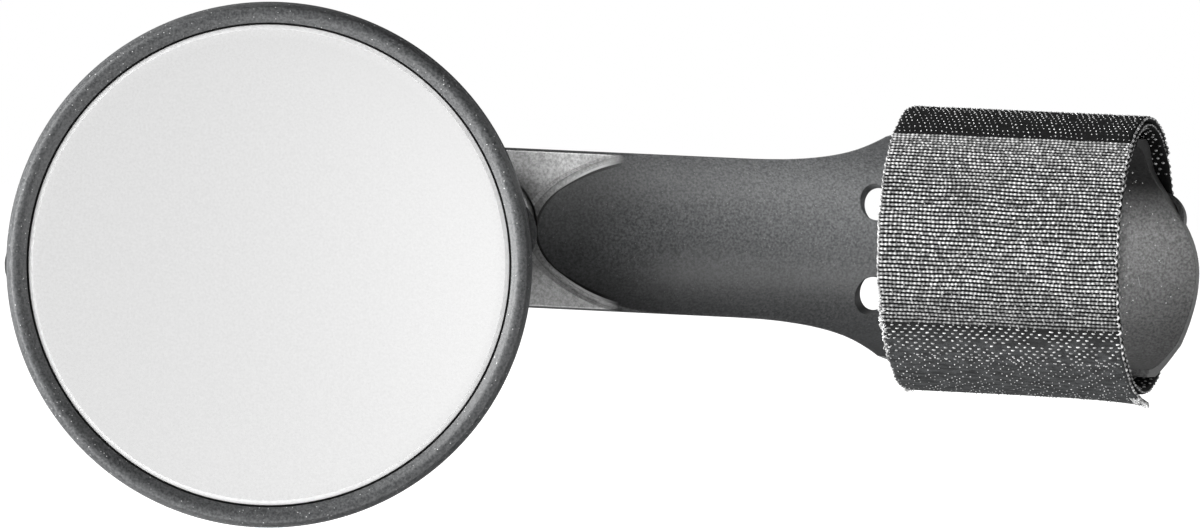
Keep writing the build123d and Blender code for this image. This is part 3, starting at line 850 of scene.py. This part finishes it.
def make_stitches():
    """The two rows of two-ply thread that sew the hook tape to the loop tape."""
    low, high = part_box("strap_stitches")
    middle = (low[0] + high[0]) / 2 / MM
    bundle = Bundle()
    for degrees in STITCH_ROWS:
        for i in range(STITCHES):
            x = middle + (i - (STITCHES - 1) / 2) * STITCH_PITCH
            slant = dice.uniform(-0.5, 0.5)
            for ply in (0, math.pi):
                path, tints = [], []
                for k in range(13):
                    t = k / 6 - 1
                    twist = ply + 2.2 * math.pi * t
                    height = 0.03 + 0.13 * (1 - t ** 4) - 0.25 * t ** 8 + 0.05 * math.sin(twist)
                    turn = degrees + slant * t + math.degrees(0.06 * math.cos(twist) / HOOK_OUTER)
                    path.append(tape_point(x + STITCH_HALF * t, turn, height))
                    tints.append(0.35 + 0.25 * math.sin(twist * 2))
                bundle.tube(path, [0.1] * 13, tints, sides=6)
    return bundle


def patch_side(side, degrees, proud):
    """The saddle's own patch has straight edges, where its CAD solid has them."""
    return patch_right if side > 0 else patch_left


def make_patch_hooks():
    """Rows of small hooks on the patch, which the loop tape's back clings to."""
    bundle = Bundle()
    pitch = 0.9
    step = math.degrees(0.7 / PATCH_OUTER)
    degrees, row = -PATCH_ANGLE + 1, 0
    while degrees < PATCH_ANGLE - 0.5:
        x = patch_left + 0.4 + (row % 2) * pitch / 2
        while x < patch_right - 0.3:
            at = degrees + dice.uniform(-0.1, 0.1)
            half = (dice.uniform(0.1, 0.16), dice.uniform(0.14, 0.22), dice.uniform(0.1, 0.17))
            centre = around(x, PATCH_OUTER - 0.12, at)
            bundle.bead(centre, half, dice.uniform(0.2, 0.8), dice.uniform(-0.4, 0.4))
            x += pitch
        degrees += step
        row += 1
    return bundle


def make_fray():
    """Loose filaments at the hook tape's worn left edge and round its lifted free corner."""
    bundle = Bundle()
    tufts = ((196, 226, -1, 0.9, 46), (258, 277.5, 1, 1.6, 52), (262, 277, -1, 1.0, 14))
    for start, end, side, reach, count in tufts:
        for _ in range(count):
            degrees = dice.uniform(start, end)
            x = strap_side(side, degrees) + side * (0.12 - reach * dice.random() ** 2)
            centre = tape_point(x, degrees, 0.0)
            out = Vector((side * 0.5, centre.y / HOOK_OUTER / MM, centre.z / HOOK_OUTER / MM)).normalized()
            size, girth = dice.uniform(0.16, 0.34), dice.uniform(0.05, 0.085)
            add_loop(bundle, centre, out, size, girth, dice.uniform(0.5, 1.0), dice.uniform(0, 6.3))
    return bundle


def make_lint():
    """Specks of lint on the tongue, thickest beside the strap's edge, and one short fibre."""
    bundle = Bundle()
    for i in range(44):
        degrees = dice.uniform(-52, 50)
        x = TONGUE_EDGE + 6 * abs(math.sin(math.radians(degrees))) + 2.6 * dice.random() ** 2
        if i > 29:
            x += dice.uniform(1, 8)
            degrees *= 0.6
        size = dice.uniform(0.04, 0.1)
        centre = around(x, HOOD_RADIUS, degrees)
        bundle.bead(centre, (size * 1.3, size, size), 1.0, dice.uniform(0, 3), inward=True, segments=6)
    fibre = []
    for k in range(9):
        t = k / 4 - 1
        x = FIBRE_AT[0] + 0.28 * t + 0.12 * t * t
        fibre.append(around(x, HOOD_RADIUS - 0.06, FIBRE_AT[1] - 2.6 * t))
    bundle.tube(fibre, [0.03, 0.035, 0.04, 0.04, 0.04, 0.04, 0.035, 0.03, 0.02], [0.7] * 9, sides=5)
    return bundle


hook_ground = tape_ground("hook_tape_ground", 0.035)
hook_band = band(
    "hook_tape", HOOK_OUTER - TAPE, hook_ground_radius, HOOK_START, HOOK_END, hook_ground, tail_lift
)
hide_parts("strap_hook_tape")

loop_ground = tape_ground("loop_tape_ground", 0.012)
loop_band = band(
    "loop_tape", LOOP_OUTER - TAPE, LOOP_OUTER - 0.1, LOOP_START, LOOP_END, loop_ground,
    proud=(LEFT_PROUD, 0), rows=320,
)
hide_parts("strap_loop_tape")

hook_yarn = yarn("hook_tape_yarn", 0.01, 0.95)
dim_yarn = yarn("hook_tape_dim_yarn", 0.03, 0.5)
loop_yarn = yarn("loop_tape_yarn", 0.03, 0.6)

row_bundle, leg_bundle = make_rows()
rows = row_bundle.make("hook_tape_rows", hook_yarn, "hook_tape")
legs = leg_bundle.make("hook_tape_legs", hook_yarn, "hook_tape")

upper = Bundle()
scatter_dots(
    upper, HOOK_START + 1, RIB_START - 0.5, 1.05, 0.82, (0.15, 0.11, 0.12),
    light=lambda part: dice.uniform(0.3, 0.9), keep=lambda part: 0.93, lean=0.6,
)
upper_dots = upper.make("hook_tape_upper_dots", hook_yarn, "hook_tape")

lower = Bundle()
scatter_dashes(lower)
scatter_dots(
    lower, RIB_END + 15, HOOK_END - 0.5, 0.66, HOOK_PITCH, (0.11, 0.10, 0.10),
    light=lambda part: dice.uniform(0.4, 1.0) * (1 - 0.5 * part), keep=lambda part: 0.8 - 0.45 * part,
)
lower_dots = lower.make("hook_tape_lower_dots", hook_yarn, "hook_tape")

edge_bundle = Bundle()
for side in (-1, 1):
    make_selvedge(edge_bundle, side, HOOK_START, HOOK_END, HOOK_OUTER - 0.2, 0.0, tail_lift, seed=side)
hook_edges = edge_bundle.make("hook_tape_selvedge", hook_yarn, "hook_tape")

edge_bundle = Bundle()
for side, proud in ((-1, LEFT_PROUD), (1, 0.0)):
    make_selvedge(
        edge_bundle, side, LOOP_START, LOOP_END, LOOP_OUTER - 0.3, proud, girth=0.15, seed=3 + side
    )
loop_edges = edge_bundle.make("loop_tape_selvedge", loop_yarn, "loop_tape")

stitches = make_stitches().make("strap_thread", dim_yarn, "thread")
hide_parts("strap_stitches")
fray = make_fray().make("hook_tape_fray", hook_yarn, "hook_tape")
lint = make_lint().make("tongue_lint", hook_yarn, "loop_tape")

patch_low, patch_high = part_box("saddle_hook_patch")
patch_left, patch_right = patch_low[0] / MM, patch_high[0] / MM
patch = band(
    "saddle_patch", PATCH_OUTER - 0.5, PATCH_OUTER - 0.12, -PATCH_ANGLE, PATCH_ANGLE, hook_ground,
    columns=48, rows=80, side_at=patch_side,
)
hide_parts("saddle_hook_patch")
patch_hooks = make_patch_hooks().make("saddle_patch_hooks", dim_yarn, "hook_tape")

pile = make_pile().make("loop_tape_pile", loop_yarn, "loop_tape")
inside_dots = make_inside_dots().make("loop_tape_knots", loop_yarn, "loop_tape")

# ============================== floor, light and camera ==============================

FLOOR_GAP, FLOOR_GLOW = 6 * MM, 0.7
FLOOR_REACH, FADE_START, FADE_END = 6.0, 1.2, 4.5


def make_floor():
    """A large pale light table below all that the head can reach, clear at its far edge, so that no
    horizon shows."""
    rings, segments = 30, 96
    points, faces = [(0, 0, 0)], []
    for r in range(1, rings + 1):
        radius = FLOOR_REACH * (r / rings) ** 2.2
        for k in range(segments):
            turn = 2 * math.pi * k / segments
            points.append((radius * math.cos(turn), radius * math.sin(turn), 0))
    for k in range(segments):
        faces.append((0, 1 + k, 1 + (k + 1) % segments))
    for r in range(rings - 1):
        for k in range(segments):
            a, b = 1 + r * segments + k, 1 + r * segments + (k + 1) % segments
            faces.append((a, a + segments, b + segments, b))
    mesh = bpy.data.meshes.new("floor")
    mesh.from_pydata(points, [], faces)
    floor = bpy.data.objects.new("floor", mesh)
    bpy.context.scene.collection.objects.link(floor)
    reach_down = (LENS_CENTRE - BALL).length + RIM_RADIUS
    floor.location = (-0.04, 0, BALL.z - reach_down - FLOOR_GAP)
    s = Shader("pale_floor")
    fine = s.noise(300, 2.0)
    s.set(Base_Color=s.mix(s.spread(fine, 0.3, 0.7), grey(0.86), grey(0.9)), Roughness=0.9)
    s.surface.inputs["Emission Color"].default_value = (1, 1, 1, 1)
    s.surface.inputs["Emission Strength"].default_value = FLOOR_GLOW
    far = s.node("ShaderNodeVectorMath", operation="LENGTH")
    s.link(s.place, far.inputs[0])
    s.set(Alpha=s.spread(far.outputs["Value"], FADE_START, FADE_END, 1.0, 0.0))
    mesh.materials.append(s.material)
    floor.visible_diffuse = floor.visible_glossy = floor.visible_shadow = False
    return floor


def toward(azimuth, elevation):
    """The direction from the object toward a viewer or a light at these angles in degrees."""
    a, e = math.radians(azimuth), math.radians(elevation)
    return Vector((math.sin(a) * math.cos(e), -math.cos(a) * math.cos(e), math.sin(e)))


def make_world(lights, panel, ambient):
    """Soft light from far away. Each light is (azimuth, elevation, sharpness, strength), brightest at
    its middle. The panel is (azimuth, elevation, inner and outer angle, strength), flat out to its edge."""
    world = bpy.data.worlds.new("studio")
    bpy.context.scene.world = world
    world.use_nodes = True
    tree = world.node_tree
    background = tree.nodes["Background"]
    direction = tree.nodes.new("ShaderNodeTexCoord").outputs["Generated"]

    def calculate(operation, a, b):
        made = tree.nodes.new("ShaderNodeMath")
        made.operation = operation
        for socket, value in zip(made.inputs, (a, b)):
            if isinstance(value, (int, float)):
                socket.default_value = value
            else:
                tree.links.new(value, socket)
        return made.outputs["Value"]

    def closeness(azimuth, elevation):
        dot = tree.nodes.new("ShaderNodeVectorMath")
        dot.operation = "DOT_PRODUCT"
        dot.inputs[1].default_value = toward(azimuth, elevation)
        tree.links.new(direction, dot.inputs[0])
        return dot.outputs["Value"]

    total = ambient
    for azimuth, elevation, sharpness, strength in lights:
        fall = calculate("MULTIPLY", calculate("SUBTRACT", closeness(azimuth, elevation), 1.0), sharpness)
        total = calculate("ADD", calculate("MULTIPLY", calculate("EXPONENT", fall, 0), strength), total)
    azimuth, elevation, inner, outer, strength = panel
    edge = tree.nodes.new("ShaderNodeMapRange")
    edge.interpolation_type = "SMOOTHSTEP"
    edge.inputs["From Min"].default_value = math.cos(math.radians(outer))
    edge.inputs["From Max"].default_value = math.cos(math.radians(inner))
    tree.links.new(closeness(azimuth, elevation), edge.inputs["Value"])
    total = calculate("ADD", calculate("MULTIPLY", edge.outputs["Result"], strength), total)
    seen = tree.nodes.new("ShaderNodeLightPath").outputs["Is Camera Ray"]
    shown = calculate("ADD", calculate("MULTIPLY", calculate("SUBTRACT", 1.0, seen), total), seen)
    background.inputs["Color"].default_value = (1, 1, 1, 1)
    tree.links.new(shown, background.inputs["Strength"])
    return world


LIGHTS = [
    (-55, 30, 40, 6.0),
    (-30, 34, 24, 4.5),
    (-75, 8, 12, 8.0),
    (-66, -8, 12, 9.0),
    (-35, -45, 12, 3.2),
    (30, 0, 40, 0.4),
    (90, -15, 12, 2.5),
    (120, 15, 12, 2.0),
    (45, -45, 12, 1.8),
    (0, -75, 12, 1.4),
    (-135, -45, 12, 0.8),
    (-135, 45, 12, 0.6),
]
PANEL = (12, -3, 9, 13, 0.78)
make_floor()
make_world(LIGHTS, PANEL, 0.01)
bpy.context.scene.view_settings.view_transform = "Standard"

# the camera: a long lens, a little to the tongue's side of the arm's front
VIEW_AZIMUTH, VIEW_ELEVATION, VIEW_ROLL = 15.3, 1.2, 2.37
VIEW_DISTANCE = 3.0
FIELD_WIDTH = 184.7 * MM
AIM = Vector((-47.0, 0, 0)) * MM
AIM_RIGHT, AIM_UP = -20.4 * MM, -3.8 * MM

back = toward(VIEW_AZIMUTH, VIEW_ELEVATION)
camera_data = bpy.data.cameras.new("camera")
camera = bpy.data.objects.new("camera", camera_data)
bpy.context.scene.collection.objects.link(camera)
bpy.context.scene.camera = camera
camera.rotation_mode = "QUATERNION"
camera.rotation_quaternion = back.to_track_quat("Z", "Y") @ Quaternion((0, 0, 1), math.radians(VIEW_ROLL))
camera_data.sensor_width = 36.0
camera_data.lens = camera_data.sensor_width * VIEW_DISTANCE / FIELD_WIDTH
right = camera.rotation_quaternion @ Vector((1, 0, 0))
up = camera.rotation_quaternion @ Vector((0, 1, 0))
camera.location = AIM + right * AIM_RIGHT + up * AIM_UP + back * VIEW_DISTANCE
camera_data.clip_end = 20.0
